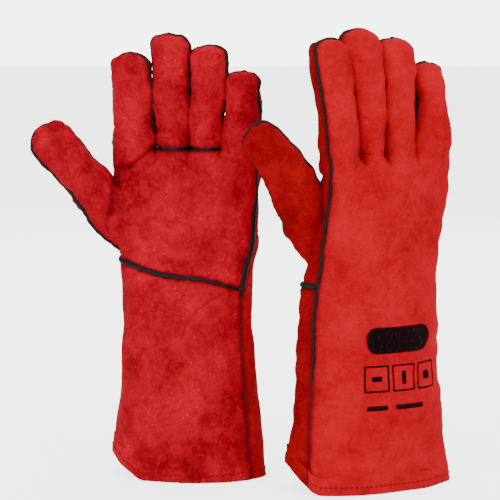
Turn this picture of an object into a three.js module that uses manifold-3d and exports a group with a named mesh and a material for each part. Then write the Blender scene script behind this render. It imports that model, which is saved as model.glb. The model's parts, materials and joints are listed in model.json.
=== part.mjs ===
// A pair of welding gauntlets, standing on their cuffs with the fingers up.
// Millimetres, +Z up, origin on the ground under the middle of the pair.
// Each glove is built in its own frame: thumb at -X, palm at -Y, hem at Z = 0.
// The second glove is the mirror of the first, so that its back faces -Y.
import * as THREE from "three";
import { mergeVertices } from "three/addons/utils/BufferGeometryUtils.js";
import Module from "manifold-3d";

const wasm = await Module();
wasm.setup();

// Lengths up the glove.
const cuffLength = 164; // hem to the middle of the wrist seam
const palmLength = 102; // wrist seam to the finger crease

// Widths and depths of the cuff and the hand.
const mouthWidth = 126;
const mouthDepth = 84;
const forearmWidth = 108;
const forearmDepth = 70;
const wristWidth = 104;
const wristDepth = 58;
const palmWidth = 116;
const palmDepth = 48;
const creaseDepth = 33; // at the finger crease, and so the depth that the fingers start from

// Leather, linings and the black strips sewn into the seams.
const leather = 1.6;
const fleece = 2.2;
const canvas = 1.0;
const layerGap = 0.3; // between leather and lining
const weltWidth = 3.0;
const weltProud = 1.2; // how far a welt stands out of the leather
const seamGap = 0.3; // between any two pieces that are sewn together
const thread = 0.8;
const hemAllowance = 6; // hem edge to its row of stitches
const hemLift = 15; // how far the hem rises at the thumb side

// Fingers, from the thumb side. Length is from the crease to the tip, curl is how far the tip stands
// to the palm side and lean how far it stands to the little finger's side. Tilt is the slope of the
// plane of the side seams, which brings the thumb side one to the back.
const fingers = [
  { name: "index", width: 33, tipWidth: 33, length: 75, curl: 15, lean: -4, tilt: 0.4 },
  { name: "middle", width: 26, tipWidth: 31, length: 88, curl: 15, lean: -1, tilt: 0.12 },
  { name: "ring", width: 25, tipWidth: 27, length: 79, curl: 18, lean: 4, tilt: 0.1 },
  { name: "little", width: 30, tipWidth: 24, length: 58, curl: 16, lean: 3, tilt: 0.04 },
];
const fingerClearance = 0.6; // between the welts of two fingers at the crease

// Thumb.
const thumbLength = 86; // from the side of the hand to its tip
const thumbRootAngle = THREE.MathUtils.degToRad(30); // of its root above level
const thumbAngle = THREE.MathUtils.degToRad(55); // of its outer half above level
const thumbRoot = 56; // width of its root
const thumbRootDepth = 31;
const thumbWidth = 34;
const thumbDepth = 30;
const thumbRise = 44; // wrist seam to the middle of the thumb's opening
const thumbSet = 9; // how far its root stands to the palm side of the hand's middle
const thumbForward = 9; // and how much further its tip does
const thumbReach = 1.5; // from the widest part of the palm out to the thumb's joint

// Seams. A slope is how far a side seam lies behind or before the middle, over the half width.
const thumbSeam = { cuff: 0.27, crease: 0.21 };
const littleSeam = { cuff: 0.3, crease: 0.04 };
const wristFall = 0.2; // slope of the wrist seam towards the little finger
const sideWeltEnd = 88; // height above the hem where the thumb side welt runs out

// Standing places of the two gloves.
const leftTurn = THREE.MathUtils.degToRad(-8);
const rightTurn = THREE.MathUtils.degToRad(27);
const pairSpacing = 143;
const rightForward = 42; // how far the right glove stands in front of the left

// How finely the surfaces are divided.
const handSides = 18;
const handRows = 7;
const digitSides = 10;
const domeRows = 2;
const seamRows = 6;

const creaseZ = cuffLength + palmLength;
const fingerSpacing = 2 * weltProud + fingerClearance;
const weltSlot = weltWidth + 2 * seamGap;
const far = 2 * (creaseZ + thumbLength);

// ---------------------------------------------------------------- solids

// A closed geometry as a manifold solid, without the doubled vertices and empty triangles at its poles.
function solid(geometry) {
  geometry.deleteAttribute("normal");
  geometry.deleteAttribute("uv");
  const merged = mergeVertices(geometry, 1e-4);
  const index = merged.index.array;
  const triVerts = [];
  for (let i = 0; i < index.length; i += 3) {
    const [a, b, c] = [index[i], index[i + 1], index[i + 2]];
    if (a !== b && b !== c && c !== a) triVerts.push(a, b, c);
  }
  const mesh = new wasm.Mesh({
    numProp: 3,
    vertProperties: merged.attributes.position.array,
    triVerts: new Uint32Array(triVerts),
  });
  return new wasm.Manifold(mesh);
}

function geometryOf(made) {
  const mesh = made.getMesh();
  const geometry = new THREE.BufferGeometry();
  geometry.setAttribute("position", new THREE.BufferAttribute(mesh.vertProperties, 3));
  geometry.setIndex(new THREE.BufferAttribute(mesh.triVerts, 1));
  geometry.computeVertexNormals();
  return geometry;
}

// Moves each vertex of a geometry to place(vertex).
function warp(geometry, place) {
  const position = geometry.attributes.position;
  const vertex = new THREE.Vector3();
  for (let i = 0; i < position.count; i++) {
    const moved = place(vertex.fromBufferAttribute(position, i));
    position.setXYZ(i, moved.x, moved.y, moved.z);
  }
  return geometry;
}

function block(low, high) {
  const size = new THREE.Vector3().subVectors(high, low);
  const geometry = new THREE.BoxGeometry(size.x, size.y, size.z);
  const middle = new THREE.Vector3().addVectors(low, high).multiplyScalar(0.5);
  return solid(geometry.translate(middle.x, middle.y, middle.z));
}

const above = (z) => block(new THREE.Vector3(-far, -far, z), new THREE.Vector3(far, far, far));
const below = (z) => block(new THREE.Vector3(-far, -far, -far), new THREE.Vector3(far, far, z));
const leftOf = (x) => block(new THREE.Vector3(-far, -far, -far), new THREE.Vector3(x, far, far));
const rightOf = (x) => block(new THREE.Vector3(x, -far, -far), new THREE.Vector3(far, far, far));

// The largest separate bodies of a solid, in order of one coordinate of their middles.
function largestAlong(made, count, axis) {
  const middle = (body) => {
    const box = body.boundingBox();
    return box.min[axis] + box.max[axis];
  };
  const largest = made.decompose().sort((a, b) => b.volume() - a.volume()).slice(0, count);
  return largest.sort((a, b) => middle(a) - middle(b));
}

// ---------------------------------------------------------------- limbs
// A limb is a tube of leather along a curve: the hand with its cuff, a finger or the thumb.
// side(t) is the direction of its width, and its depth runs along Y.

const across = new THREE.Vector3(1, 0, 0);

// The hand's sections from the hem up: height, half width, half depth, and how round they are,
// from 1 for an ellipse towards 0 for a rectangle.
const sections = [
  [0, mouthWidth / 2, mouthDepth / 2, 1],
  [0.55 * cuffLength, forearmWidth / 2, forearmDepth / 2, 1],
  [0.93 * cuffLength, wristWidth / 2, wristDepth / 2, 0.95],
  [cuffLength + 0.55 * palmLength, palmWidth / 2, palmDepth / 2, 0.75],
  [creaseZ, fingerRowWidth() / 2, creaseDepth / 2, 0.45],
];
const sectionAt = new THREE.CubicInterpolant(
  sections.map(([height]) => height),
  sections.flatMap(([, ...shape]) => shape),
  3,
);

function fingerRowWidth() {
  const widths = fingers.reduce((sum, finger) => sum + finger.width, 0);
  return widths + fingerSpacing * (fingers.length - 1);
}

// The slope of a side seam at a height: one value up the cuff, then turning to that at the crease.
function seamSlope(seam, z) {
  return THREE.MathUtils.lerp(seam.cuff, seam.crease, Math.max(0, (z - cuffLength) / palmLength));
}

const hand = {
  at: (t) => new THREE.Vector3(0, 0, creaseZ * t),
  side: () => across,
  halfWidth: (t) => sectionAt.evaluate(creaseZ * Math.max(0, t))[0],
  halfDepth: (t) => sectionAt.evaluate(creaseZ * Math.max(0, t))[1],
  roundness: (t) => sectionAt.evaluate(creaseZ * Math.max(0, t))[2],
  seamY: (x, z) => -x * seamSlope(x < 0 ? thumbSeam : littleSeam, z),
  seamBox: new THREE.Box2(new THREE.Vector2(-palmWidth, -30), new THREE.Vector2(palmWidth, creaseZ + 30)),
  length: creaseZ,
};

// A finger's base lies a little inside the hand, so that the two tubes run into each other.
function fingerLimb(spec, x) {
  const rootZ = creaseZ - creaseDepth / 2;
  const total = creaseDepth / 2 + spec.length;
  const free = (z) => Math.max(0, (z - creaseZ) / spec.length);
  const middleX = (z) => x + spec.lean * free(z);
  const middleY = (z) => -spec.curl * free(z) ** 2;
  const widest = Math.max(spec.width, spec.tipWidth);
  return {
    at: (t) => {
      const z = rootZ + total * t;
      return new THREE.Vector3(middleX(z), middleY(z), z);
    },
    side: () => across,
    halfWidth: (t) => THREE.MathUtils.lerp(spec.width, spec.tipWidth, free(rootZ + total * t)) / 2,
    halfDepth: () => creaseDepth / 2,
    roundness: () => 1,
    seamY: (sideways, z) => middleY(z) - spec.tilt * (sideways - middleX(z)),
    seamBox: new THREE.Box2(
      new THREE.Vector2(x - widest, rootZ - 10),
      new THREE.Vector2(x + widest, rootZ + total + 10),
    ),
    length: total,
  };
}

// The thumb leaves the hand low and turns up to its own angle.
const thumbJoint = new THREE.Vector3(-palmWidth / 2 - thumbReach, -thumbSet, cuffLength + thumbRise);

function thumbLimb() {
  const low = new THREE.Vector3(-Math.cos(thumbRootAngle), 0, Math.sin(thumbRootAngle));
  const out = new THREE.Vector3(-Math.cos(thumbAngle), 0, Math.sin(thumbAngle));
  const inside = thumbJoint.clone().addScaledVector(low, -thumbRoot / 2);
  const bend = thumbJoint.clone().addScaledVector(low, 0.18 * thumbLength);
  const outerLength = 0.82 * thumbLength;
  const tip = bend.clone().addScaledVector(out, outerLength);
  tip.y -= thumbForward;
  const middle = new THREE.Vector3().lerpVectors(bend, tip, 0.45);
  const curve = new THREE.CatmullRomCurve3([inside, thumbJoint, bend, middle, tip]);
  const widths = new THREE.SplineCurve([
    new THREE.Vector2(0, thumbRoot / 2),
    new THREE.Vector2(0.25, thumbRoot / 2),
    new THREE.Vector2(0.52, thumbWidth * 0.6),
    new THREE.Vector2(0.75, thumbWidth / 2),
    new THREE.Vector2(1, thumbWidth / 2),
  ]);
  const depths = new THREE.SplineCurve([
    new THREE.Vector2(0, thumbRootDepth / 3),
    new THREE.Vector2(0.25, thumbRootDepth / 2),
    new THREE.Vector2(1, thumbDepth / 2),
  ]);
  const length = curve.getLength();
  const held = (t) => THREE.MathUtils.clamp(t, 0, 1);
  const forwardShare = (x, z) => {
    const along = (x - bend.x) * out.x + (z - bend.z) * out.z;
    return Math.max(0, along / outerLength);
  };
  return {
    at: (t) => curve
      .getPointAt(held(t))
      .addScaledVector(curve.getTangentAt(held(t)), (t - held(t)) * length),
    side: (t) => {
      const along = curve.getTangentAt(held(t)).setY(0).normalize();
      return new THREE.Vector3(along.z, 0, -along.x);
    },
    halfWidth: (t) => widths.getPoint(held(t)).y,
    halfDepth: (t) => depths.getPoint(held(t)).y,
    roundness: () => 1,
    seamY: (x, z) => -thumbSet - thumbForward * forwardShare(x, z),
    seamBox: new THREE.Box2(
      new THREE.Vector2(tip.x - thumbWidth, thumbJoint.z - thumbRoot),
      new THREE.Vector2(thumbJoint.x + thumbRoot, tip.z + thumbWidth),
    ),
    length,
  };
}

// Profiles for the tubes below, as (radius, t): a round tip, or a flat end.
function domed(limb, inset) {
  const start = inset / limb.length;
  const end = 1 - start;
  const dome = (0.9 * (limb.halfWidth(1) - inset)) / limb.length;
  const points = [new THREE.Vector2(0, start), new THREE.Vector2(1, start)];
  points.push(new THREE.Vector2(1, 0.5 * (end - dome)));
  for (let row = 0; row <= domeRows; row++) {
    const angle = (row / domeRows) * (Math.PI / 2);
    points.push(new THREE.Vector2(Math.cos(angle), end - dome * (1 - Math.sin(angle))));
  }
  points[points.length - 1].x = 0;
  return points;
}

function flatEnded(rows, start, end) {
  const points = [new THREE.Vector2(0, start)];
  for (let row = 0; row <= rows; row++) {
    points.push(new THREE.Vector2(1, THREE.MathUtils.lerp(start, end, row / rows)));
  }
  points.push(new THREE.Vector2(0, end));
  return points;
}

// A solid tube: the profile is turned about an axis, then widened, flattened and bent along the limb.
function tube(limb, profile, sides, inset) {
  const geometry = new THREE.LatheGeometry(profile, sides);
  const squared = (part, radius, power) => {
    if (radius === 0) return 0;
    return Math.sign(part) * Math.abs(part / radius) ** power * radius;
  };
  return solid(
    warp(geometry, (vertex) => {
      const t = vertex.y;
      const radius = Math.hypot(vertex.x, vertex.z);
      const sideways = squared(vertex.x, radius, limb.roundness(t));
      const deep = -squared(vertex.z, radius, limb.roundness(t));
      return limb
        .at(t)
        .addScaledVector(limb.side(t), sideways * (limb.halfWidth(t) - inset))
        .add(new THREE.Vector3(0, deep * (limb.halfDepth(t) - inset), 0));
    }),
  );
}

// All that lies behind the surface of a limb's seams, with that surface moved back by offset.
function behindSeam(limb, offset) {
  const { min, max } = limb.seamBox;
  const geometry = new THREE.BoxGeometry(1, 1, 1, 2, 1, seamRows);
  return solid(
    warp(geometry, (vertex) => {
      const x = THREE.MathUtils.lerp(min.x, max.x, vertex.x + 0.5);
      const z = THREE.MathUtils.lerp(min.y, max.y, vertex.z + 0.5);
      return new THREE.Vector3(x, vertex.y > 0 ? far : limb.seamY(x, z) + offset, z);
    }),
  );
}

// The sheet in which a limb's side seams lie.
function seamSheet(limb, thickness) {
  return behindSeam(limb, -thickness / 2).subtract(behindSeam(limb, thickness / 2));
}

// ---------------------------------------------------------------- one glove

const fingerRowStart = -fingerRowWidth() / 2;
const fingerLimbs = fingers.map((spec, i) => {
  const before = fingers.slice(0, i).reduce((sum, finger) => sum + finger.width + fingerSpacing, 0);
  return fingerLimb(spec, fingerRowStart + before + spec.width / 2);
});

const digits = [
  ...fingers.map((spec, i) => ({
    name: spec.name,
    limb: fingerLimbs[i],
    hinge: new THREE.Vector3(fingerLimbs[i].at(0).x, -creaseDepth / 2 - seamGap, creaseZ),
    handSide: below(creaseZ - seamGap / 2),
    outside: above(creaseZ + seamGap / 2),
  })),
  {
    name: "thumb",
    limb: thumbLimb(),
    hinge: new THREE.Vector3(thumbJoint.x, thumbJoint.y - thumbRootDepth / 2 - seamGap, thumbJoint.z),
    handSide: rightOf(thumbJoint.x + seamGap / 2),
    outside: leftOf(thumbJoint.x - seamGap / 2),
  },
];

const stall = (digit, inset) => tube(digit.limb, domed(digit.limb, inset), digitSides, inset);

// What lies above the hem, raised. The hem is flat on the ground and rises at the thumb side.
function hemCut(raised) {
  const flatFrom = -0.25 * mouthWidth;
  const rise = hemLift / (mouthWidth / 2 + flatFrom);
  const outline = new THREE.Shape();
  outline.moveTo(far, 0);
  outline.lineTo(far, far);
  outline.lineTo(-far, far);
  outline.lineTo(-far, (far + flatFrom) * rise);
  outline.lineTo(flatFrom, 0);
  const geometry = new THREE.ExtrudeGeometry(outline, { depth: 2 * far, bevelEnabled: false });
  return solid(geometry.translate(0, 0, -far).rotateX(Math.PI / 2).translate(0, 0, raised));
}

// The whole glove as one solid up to the digits' joints, taken in by inset and running on below the hem.
function wholeHand(inset) {
  const profile = flatEnded(handRows, -0.05, 1 - inset / creaseZ);
  const body = tube(hand, profile, handSides, inset);
  const stubs = digits.map((digit) => stall(digit, inset).intersect(digit.handSide));
  return stubs.reduce((made, stub) => made.add(stub), body).intersect(below(creaseZ - seamGap / 2));
}

// The same, with the digits' insides going on past their joints, so that it opens the hand there.
function insideHand(inset) {
  const whole = wholeHand(inset);
  return digits.reduce((made, digit) => made.add(stall(digit, inset)), whole);
}

// The wrist seam's sheet, level from back to front and falling towards the little finger.
function wristSheet(thickness) {
  const geometry = new THREE.BoxGeometry(2 * palmWidth, far, thickness);
  return solid(geometry.rotateY(Math.atan(wristFall)).translate(0, 0, cuffLength));
}

// A level band just below the crease of the two middle fingers.
function creaseBand(thickness, trim) {
  const middle = creaseZ - seamGap / 2 - weltSlot / 2;
  const [, second, third] = digits;
  const from = second.limb.at(0).x - second.limb.halfWidth(0) + trim;
  const to = third.limb.at(0).x + third.limb.halfWidth(0) - trim;
  return block(
    new THREE.Vector3(from, -far, middle - thickness / 2),
    new THREE.Vector3(to, far, middle + thickness / 2),
  );
}

function handPieces() {
  const inside = insideHand(leather);
  const shell = wholeHand(0).subtract(inside).intersect(hemCut(0));
  const band = wholeHand(-weltProud).subtract(inside);
  const thumbSide = leftOf(0).intersect(above(sideWeltEnd));
  const littleSide = rightOf(0).intersect(above(cuffLength));
  const cut = seamSheet(hand, seamGap)
    .add(seamSheet(hand, weltSlot).intersect(thumbSide.add(littleSide)));
  const [front, back] = largestAlong(shell.subtract(cut), 2, 1);

  const slots = wristSheet(weltSlot).add(creaseBand(weltSlot + seamGap, 0));
  const [cuffFront, palmPanel] = largestAlong(front.subtract(slots), 2, 2);
  const sideBand = band.intersect(seamSheet(hand, weltWidth));
  const frontBand = band.subtract(behindSeam(hand, -weltSlot / 2));
  const stitches = wholeHand(-seamGap - thread)
    .subtract(wholeHand(-seamGap))
    .intersect(hemCut(hemAllowance))
    .subtract(hemCut(hemAllowance + thread));
  return {
    back_panel: back,
    palm_panel: palmPanel,
    cuff_front: cuffFront,
    thumb_side_welt: sideBand.intersect(thumbSide),
    little_side_welt: sideBand.intersect(littleSide),
    wrist_welt: frontBand.intersect(wristSheet(weltWidth)),
    finger_base_welt: frontBand.intersect(creaseBand(weltWidth, seamGap)),
    hem_stitching: stitches,
  };
}

function handLinings() {
  const outside = leather + layerGap;
  const fleeceShell = wholeHand(outside)
    .subtract(insideHand(outside + fleece))
    .intersect(above(cuffLength + seamGap / 2));
  const canvasShell = wholeHand(outside)
    .subtract(wholeHand(outside + canvas))
    .intersect(hemCut(hemAllowance))
    .intersect(below(cuffLength - seamGap / 2));
  return { hand_lining: fleeceShell, cuff_lining: canvasShell };
}

function digitPieces(digit) {
  const within = (solidMade) => solidMade.intersect(digit.outside);
  const inside = stall(digit, leather);
  const shell = within(stall(digit, 0).subtract(inside));
  const band = within(stall(digit, -weltProud).subtract(inside));
  const outside = leather + layerGap;
  const [front, back] = largestAlong(shell.subtract(seamSheet(digit.limb, weltSlot)), 2, 1);
  return {
    back,
    front,
    welt: band.intersect(seamSheet(digit.limb, weltWidth)),
    lining: within(stall(digit, outside).subtract(stall(digit, outside + fleece))),
  };
}

// ---------------------------------------------------------------- the pair

const redLeather = new THREE.MeshStandardMaterial({ color: 0xc41e22, roughness: 0.95 });
const blackWelt = new THREE.MeshStandardMaterial({ color: 0x1e1c22, roughness: 0.7 });
const creamFleece = new THREE.MeshStandardMaterial({ color: 0xd9cfb8, roughness: 1 });
const blueCanvas = new THREE.MeshStandardMaterial({ color: 0x4a5468, roughness: 1 });
const redThread = new THREE.MeshStandardMaterial({ color: 0x8c1418, roughness: 0.8 });

function materialFor(name) {
  if (name.includes("welt")) return blackWelt;
  if (name.includes("stitching")) return redThread;
  if (name.includes("cuff_lining")) return blueCanvas;
  if (name.includes("lining")) return creamFleece;
  return redLeather;
}

const hingeGroup = (name, position) => {
  const group = new THREE.Group();
  group.name = name;
  group.position.copy(position);
  return group;
};

function addPiece(group, name, made) {
  const geometry = geometryOf(largestAlong(made, 1, 0)[0]);
  const { x, y, z } = group.position;
  const mesh = new THREE.Mesh(geometry.translate(-x, -y, -z), materialFor(name));
  mesh.name = name;
  group.add(mesh);
}

const handMade = { ...handPieces(), ...handLinings() };
const digitsMade = digits.map((digit) => digitPieces(digit));

function glove(label) {
  const body = new THREE.Group();
  for (const [name, made] of Object.entries(handMade)) addPiece(body, `${label}_${name}`, made);
  digits.forEach((digit, i) => {
    const group = hingeGroup(`${label}_${digit.name}_hinge`, digit.hinge);
    for (const [name, made] of Object.entries(digitsMade[i])) {
      addPiece(group, `${label}_${digit.name}_${name}`, made);
    }
    body.add(group);
  });
  return body;
}

const leftGlove = glove("left");
leftGlove.rotation.z = leftTurn;
leftGlove.position.x = -pairSpacing / 2;

const rightGlove = glove("right");
rightGlove.scale.y = -1;
rightGlove.rotation.z = rightTurn;
rightGlove.position.set(pairSpacing / 2, -rightForward, 0);

const pair = new THREE.Group();
pair.add(leftGlove, rightGlove);

// The pair stands with the middle of its outline over the origin.
const outline = new THREE.Box3().setFromObject(pair, true);
const centre = outline.getCenter(new THREE.Vector3());
for (const one of [leftGlove, rightGlove]) one.position.sub(new THREE.Vector3(centre.x, centre.y, 0));

export default pair;
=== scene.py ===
import json
import math
import bmesh
import bpy
import numpy as np
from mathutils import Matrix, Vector


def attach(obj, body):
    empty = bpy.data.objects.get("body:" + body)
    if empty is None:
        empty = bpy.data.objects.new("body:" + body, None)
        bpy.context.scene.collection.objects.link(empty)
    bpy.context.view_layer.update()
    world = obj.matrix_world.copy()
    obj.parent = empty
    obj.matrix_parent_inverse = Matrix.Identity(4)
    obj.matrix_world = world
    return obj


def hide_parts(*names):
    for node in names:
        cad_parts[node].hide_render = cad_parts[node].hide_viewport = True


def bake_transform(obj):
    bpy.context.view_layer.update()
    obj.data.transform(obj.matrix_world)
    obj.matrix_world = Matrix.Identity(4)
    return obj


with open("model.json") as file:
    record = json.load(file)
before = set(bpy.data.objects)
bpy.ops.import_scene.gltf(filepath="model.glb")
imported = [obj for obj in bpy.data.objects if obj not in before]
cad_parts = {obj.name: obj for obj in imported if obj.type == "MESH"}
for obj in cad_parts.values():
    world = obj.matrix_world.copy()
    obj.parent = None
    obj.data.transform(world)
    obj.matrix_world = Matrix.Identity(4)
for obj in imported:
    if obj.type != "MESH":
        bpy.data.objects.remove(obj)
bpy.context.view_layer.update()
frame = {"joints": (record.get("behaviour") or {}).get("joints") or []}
joints = {joint["name"]: joint for joint in frame["joints"]}

# Every glove is shaped in its own millimetres: thumb at -x, palm at -y, hem at z = 0, and put in place last.

# What tells the two gloves apart, in millimetres and degrees.
gloves = {
    "left": {
        "mirror": 1,
        "seed": 11,  # for its lumps
        "lean": 0.5,  # how far the hand stands sideways over the cuff
        "cuffReach": (0.0, 1.0),  # how much wider the cuff is, at the thumb side and the little finger's side
        "knuckleReach": (0.0, 0.0),  # the same at the knuckles, and on up at the little finger's side
        "wristReach": 4.0,  # how much fuller the thumb side is at the wrist
        "ballReach": 3.0,  # and at the ball of the thumb
        "thumbAngle": 49.0,  # above level
        "thumbOut": 88.0,  # from the thumb's joint to its tip
        "longer": (2, 4, 4, 5),  # added to each finger's length, index first
        "indexLean": -1,  # how far the index finger's tip leans sideways
        "wrist": 164.0,  # height of the wrist seam at the glove's middle
        "wristFall": 0.2,  # its fall for each millimetre towards the little finger's side
        "hemRise": 19.0,  # how much higher the hem is at the thumb side
        "hemTurn": 0.0,  # how far round from the thumb side to the palm that is
    },
    "right": {
        "mirror": -1, "seed": 47, "lean": 11.0, "cuffReach": (7.0, 9.0), "knuckleReach": (-11.0, 2.5),
        "wristReach": 6.0, "ballReach": 2.0, "thumbAngle": 54.0, "thumbOut": 90.0, "longer": (14, 8, 10, 11),
        "indexLean": 5, "wrist": 156.0, "wristFall": 0.12, "hemRise": 26.0, "hemTurn": 27.0,
    },
}

hand = {
    "heights": [0, 90, 152, 200, 230, 266],
    "halfWidths": [63, 54, 52, 56, 59, 61.5],
    "halfDepths": [42, 35, 29, 25.5, 22.5, 16.5],
    "squareness": [2.0, 2.0, 2.1, 2.4, 2.8, 3.4],
    # Heights, and how far the two side seams lie off the widest line there, in degrees.
    "thumbSeam": ([0, 90, 160, 230, 266], [46, 44, 42, 30, 23.6]),
    "littleSeam": ([0, 100, 156, 196, 230, 266], [56, 56, 52, 30, 20, 8.6]),
    "crease": 266.0,
    "backBlend": 11.0,  # how far below the crease the back begins to part into the fingers
    "palmBlend": 9.0,
    "hemFlatFrom": -30.0, "hemRiseOver": 33.0, "hemRisePower": 1.5,  # the hem rises to the thumb side
    "wristWave": 1.5, "wristWaveLength": 11.0,
    "baseSeam": (-27, 29),  # from where to where the seam under the two middle fingers runs, and its welt
    "baseWelt": (-25, 27),
    "leather": 1.6,
    "rimUp": 14.0,  # how far the turned hem runs up inside
    "rimTurn": (0.4, 0.2),  # how far its turn lies above and below the edge
}

# Half widths at the crease meet each other. Seams are degrees off the widest line, the thumb side's first.
fingers = [
    {"name": "index", "middle": -43.25, "half": 18.25, "tipHalf": 18.4, "length": 75, "curl": 15,
     "seams": (23.6, 23.6)},
    {"name": "middle", "middle": -11.5, "half": 13.5, "tipHalf": 17.2, "length": 88, "curl": 15, "lean": -1,
     "seams": (7, 9)},
    {"name": "ring", "middle": 14.5, "half": 12.5, "tipHalf": 16.0, "length": 79, "curl": 18, "lean": 6,
     "seams": (6, 12)},
    {"name": "little", "middle": 44.25, "half": 17.25, "tipHalf": 13.8, "length": 58, "curl": 16, "lean": 4,
     "seams": (4, 8)},
]

fingerShape = {
    "bendOver": 38.0,  # how far above the crease the upper end given for a finger's bend lies; the script places it but doesn't use it
    "seamsLeave": 22.0,  # how far above it the seams have left the hand's
    "widensOver": 45.0,  # how far above it the finger has its tip's width
    "waist": 0.7,  # how much slimmer it is half way up
    "bulge": 0.9, "bulgeRise": 4.0, "bulgeTop": 6.0, "bulgeFall": 16.0,  # fuller just above the crease
    "domeShare": 0.75,  # length of the rounded tip, in half widths of it
    "domePowers": (3.0, 2.3),
    "wedge": 0.42, "wedgeLength": 38.0,  # how much thinner it is at the tip
    "leanPower": 1.3,
    "tipCalm": 0.35, "tipCalmLength": 16.0,  # how much weaker the lumps are at the tip
}

thumb = {
    "joint": (-61.0, -9.0, 216.0),
    "bendFrom": -50.0,  # this and bendTo are the x given as the ends of the thumb's bend; the script places them but doesn't use them
    "bendTo": -86.0,
    "root": 50.0,  # how far it runs down inside the hand
    "rootBack": 9.0,  # how far its root lies behind its joint, and its tip ahead
    "forward": 9.0,
    "seams": (-118, 68),  # degrees round the thumb, 0 at the back and -90 at its outer edge
    "shares": [0, 0.22, 0.36, 0.48, 0.66, 0.82, 1],  # of its length
    "halfWidths": [15, 18.5, 19, 18.8, 18.2, 18.4, 19.0],
    "halfDepths": [5, 8, 12, 15.5, 15.5, 15.2, 14.5],
    "firstAngle": 0.08,  # its rows lie at the sines of even angles, from this one to a right angle
    "dome": 17.0,  # length of the rounded tip
    "domePowers": (2.7, 2.1),
    "wedge": 0.35, "wedgeLength": 36.0,
    # Two creases across it: a point as x and z, how far x moves with z, the width and the share of the depth.
    "creases": [
        {"x": -92, "z": 240, "slope": -0.35, "wide": 4.5, "share": 1.0},
        {"x": -79, "z": 226, "slope": 0.2, "wide": 4.0, "share": 0.7},
    ],
    # How deep the creases are pressed, and how dark the painted shade in the creases and the folds is.
    "creaseDepth": 1.1, "paintedCreaseShade": 0.3, "paintedFoldShade": 0.6,
}


def smoothAlong(x, places, values):
    # Cubic Hermite curve through (places, values), with slopes from the neighbours.
    places = np.asarray(places, float)
    values = np.asarray(values, float)
    slopes = np.gradient(values, places, axis=0)
    x = np.clip(x, places[0], places[-1])
    cell = np.clip(np.searchsorted(places, x) - 1, 0, len(places) - 2)
    width = places[cell + 1] - places[cell]
    t = (x - places[cell]) / width
    if values.ndim > 1:
        t, width = t[..., None], width[..., None]
    return (
        (2 * t**3 - 3 * t**2 + 1) * values[cell]
        + (t**3 - 2 * t**2 + t) * width * slopes[cell]
        + (3 * t**2 - 2 * t**3) * values[cell + 1]
        + (t**3 - t**2) * width * slopes[cell + 1]
    )


def ease(x):
    # 0 up to 0 and 1 from 1 on, with a smooth cubic step between.
    x = np.clip(x, 0, 1)
    return x * x * (3 - 2 * x)


def unit(vectors):
    return vectors / np.maximum(np.linalg.norm(vectors, axis=-1, keepdims=True), 1e-9)


def bell(x, middle, width):
    # A Gaussian: 1 at the middle and 1/e a width away.
    return np.exp(-(((x - middle) / width) ** 2))


worn = {
    "waves": 14,  # in each set of lumps
    "waveSpread": (0.7, 1.4),  # lowest and highest frequency, in waves per wavelength
    "waveSum": 4.2,
    "bigLump": 1.3, "bigWavelength": 58,
    "smallLump": 0.75, "smallWavelength": 22,
    "wrinkle": 0.9, "wrinkleWavelength": 46, "wrinkleStretch": (1, 1, 1.6), "wrinkleWidth": 0.09,
    "patchWavelength": 70, "patchShare": 0.3,  # wrinkles come in patches
    # How deep a seam's groove is and how wide, and how far the painted shade beside it reaches.
    "seamDip": 1.1, "seamWidth": 2.2, "paintedShadeWidth": 3.0,
    "pucker": 0.5, "puckerWavelength": 8.5, "puckerFrom": 3, "puckerReach": 6.0,
}


def lumps(points, wavelength, seed):
    # Plane waves in random directions near one wavelength, added up and brought to about -1 to 1.
    rng = np.random.default_rng(seed)
    directions = unit(rng.normal(size=(worn["waves"], 3)))
    waves = directions * (2 * math.pi / wavelength) * rng.uniform(*worn["waveSpread"], (worn["waves"], 1))
    phases = rng.uniform(0, 2 * math.pi, worn["waves"])
    return np.sin(points @ waves.T + phases).sum(-1) / worn["waveSum"]


def normalsOf(grid):
    # Upward step crossed with sideways step points out of the glove.
    return unit(np.cross(np.gradient(grid, axis=0), np.gradient(grid, axis=1)))


noSeam = 1e3  # a distance that counts as no seam near


def edgeDistance(grid, left=True, right=True, bottom=False, top=False):
    # Distance over the surface to the nearest of the named edges.
    across = np.linalg.norm(np.diff(grid, axis=1), axis=2)
    fromLeft = np.concatenate([np.zeros((len(grid), 1)), across.cumsum(1)], 1)
    upward = np.linalg.norm(np.diff(grid, axis=0), axis=2)
    fromBottom = np.concatenate([np.zeros((1, grid.shape[1])), upward.cumsum(0)], 0)
    nearest = np.full(grid.shape[:2], noSeam)
    for asked, away in ((left, fromLeft), (right, fromLeft[:, -1:] - fromLeft),
                        (bottom, fromBottom), (top, fromBottom[-1:] - fromBottom)):
        if asked:
            nearest = np.minimum(nearest, away)
    return nearest


def workIn(grid, seams, seed, inset=0.0, calm=None):
    # Moved along the normals: lumps of two sizes, thin wrinkles, and a dip with puckers at each seam.
    big = worn["bigLump"] * lumps(grid, worn["bigWavelength"], seed)
    small = worn["smallLump"] * lumps(grid, worn["smallWavelength"], seed + 1)
    lines = lumps(grid * worn["wrinkleStretch"], worn["wrinkleWavelength"], seed + 2)
    patches = ease(lumps(grid, worn["patchWavelength"], seed + 3) + worn["patchShare"])
    wrinkle = -worn["wrinkle"] * bell(lines, 0, worn["wrinkleWidth"]) * patches
    dip = -worn["seamDip"] * bell(seams, 0, worn["seamWidth"])
    reach = bell(seams, worn["puckerFrom"], worn["puckerReach"])
    pucker = worn["pucker"] * reach * lumps(grid, worn["puckerWavelength"], seed + 4)
    soft = big + small + wrinkle
    if calm is not None:
        soft = soft * calm
    return grid + normalsOf(grid) * (soft + dip + pucker - inset)[..., None]


def paintedShade(distance):
    # Painted shade beside a seam: how much darker the colour is made, by the distance from the seam.
    return bell(distance, 0, worn["paintedShadeWidth"])


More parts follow.
